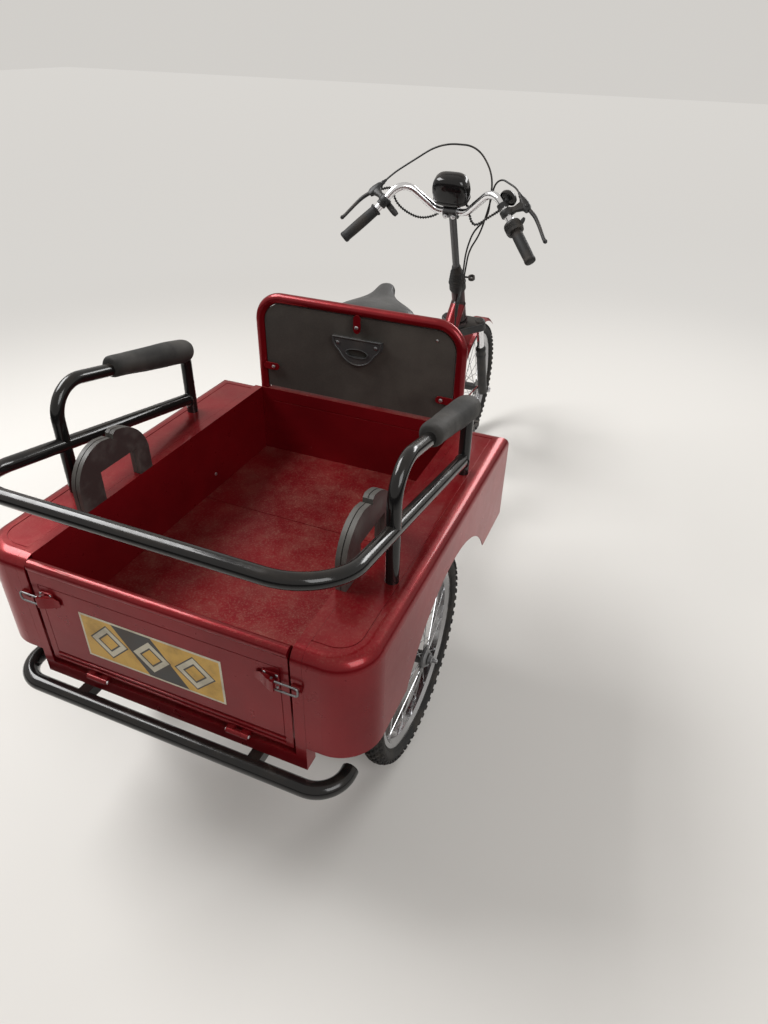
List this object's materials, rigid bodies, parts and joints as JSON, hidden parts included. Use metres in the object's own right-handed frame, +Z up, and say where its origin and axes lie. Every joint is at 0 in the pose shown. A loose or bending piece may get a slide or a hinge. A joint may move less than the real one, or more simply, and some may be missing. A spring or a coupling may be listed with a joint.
{
  "type": "electric tricycle",
  "caption": "Electric cargo tricycle with a steered front wheel and a low open bed with tailgate, arm rests and rail between the rear wheels.",
  "frame": {"origin": "on the ground below the middle of the whole machine", "axes": "+Y forward, +X the rider's right, +Z up"},
  "size_m": [0.796, 2.186, 1.1546],
  "materials": {
    "red_paint": "metallic gloss",
    "black_gloss": "gloss",
    "black_frame": "satin",
    "tyre_black": "matte",
    "wheel_chrome": "polished",
    "bar_chrome": "polished",
    "bright_steel": "satin",
    "chain_steel": "oiled",
    "motor_cast": "cast",
    "foam_grey": "matte",
    "arch_grey": "satin",
    "board_grey": "matte",
    "black_plastic": "matte",
    "pod_black": "gloss",
    "saddle_cover": "satin",
    "grip_rubber": "matte",
    "cable_sleeve": "satin"
  },
  "bodies": {
    "chassis": {"side_panel_left": "red_paint", "side_panel_right": "red_paint", "bed_walls": "red_paint", "bed_floor": "red_paint", "bed_front_wall": "red_paint", "bed_frame": "black_frame", "axle_housing": "black_frame", "drive_motor": "motor_cast", "battery_box": "black_plastic", "rear_sill": "red_paint", "rear_bumper": "black_gloss", "arm_loops": "black_gloss", "arm_pads": "foam_grey", "arm_rail": "black_gloss", "arches": "arch_grey", "front_hoop": "red_paint", "seat_board": "board_grey", "board_handle": "black_plastic", "board_tabs": "red_paint", "main_frame": "red_paint", "seat_post": "bright_steel", "saddle": "saddle_cover", "chain": "chain_steel", "frame_cable": "cable_sleeve", "gate_catches": "red_paint"},
    "steering": {"fork_crown": "black_frame", "fork_uppers": "bright_steel", "fork_legs": "black_frame", "stem": "bright_steel", "handlebar": "bar_chrome", "grips": "grip_rubber", "brake_levers": "black_plastic", "lamp_pod": "pod_black", "front_mudguard": "red_paint", "cable_ring": "bright_steel", "bar_cables": "cable_sleeve"},
    "front_wheel": {"front_tyre": "tyre_black", "front_rim": "wheel_chrome"},
    "rear_left_wheel": {"rear_left_tyre": "tyre_black", "rear_left_rim": "wheel_chrome"},
    "rear_right_wheel": {"rear_right_tyre": "tyre_black", "rear_right_rim": "wheel_chrome"},
    "pedals": {"crankset": "black_frame"},
    "gate": {"tailgate": "red_paint", "tailgate_latches": "red_paint"}
  },
  "joints": [
    {"name": "steering_turn", "type": "hinge", "parent": "chassis", "child": "steering", "pos_m": [0, 0.60291, 0.65649], "axis": [0, -0.4067, 0.9135], "range_deg": [-45, 45]},
    {"name": "front_wheel_spin", "type": "hinge", "parent": "steering", "child": "front_wheel", "pos_m": [0, 0.843, 0.25], "axis": [1, 0, 0], "continuous": true},
    {"name": "rear_left_wheel_spin", "type": "hinge", "parent": "chassis", "child": "rear_left_wheel", "pos_m": [-0.324, -0.617, 0.25], "axis": [1, 0, 0], "continuous": true},
    {"name": "rear_right_wheel_spin", "type": "hinge", "parent": "chassis", "child": "rear_right_wheel", "pos_m": [0.324, -0.617, 0.25], "axis": [1, 0, 0], "continuous": true},
    {"name": "pedal_spin", "type": "hinge", "parent": "chassis", "child": "pedals", "pos_m": [0, 0.253, 0.27], "axis": [1, 0, 0], "continuous": true},
    {"name": "tailgate_hinge", "type": "hinge", "parent": "chassis", "child": "gate", "pos_m": [0, -1.058, 0.395], "axis": [1, 0, 0], "range_deg": [0, 130]}
  ]
}
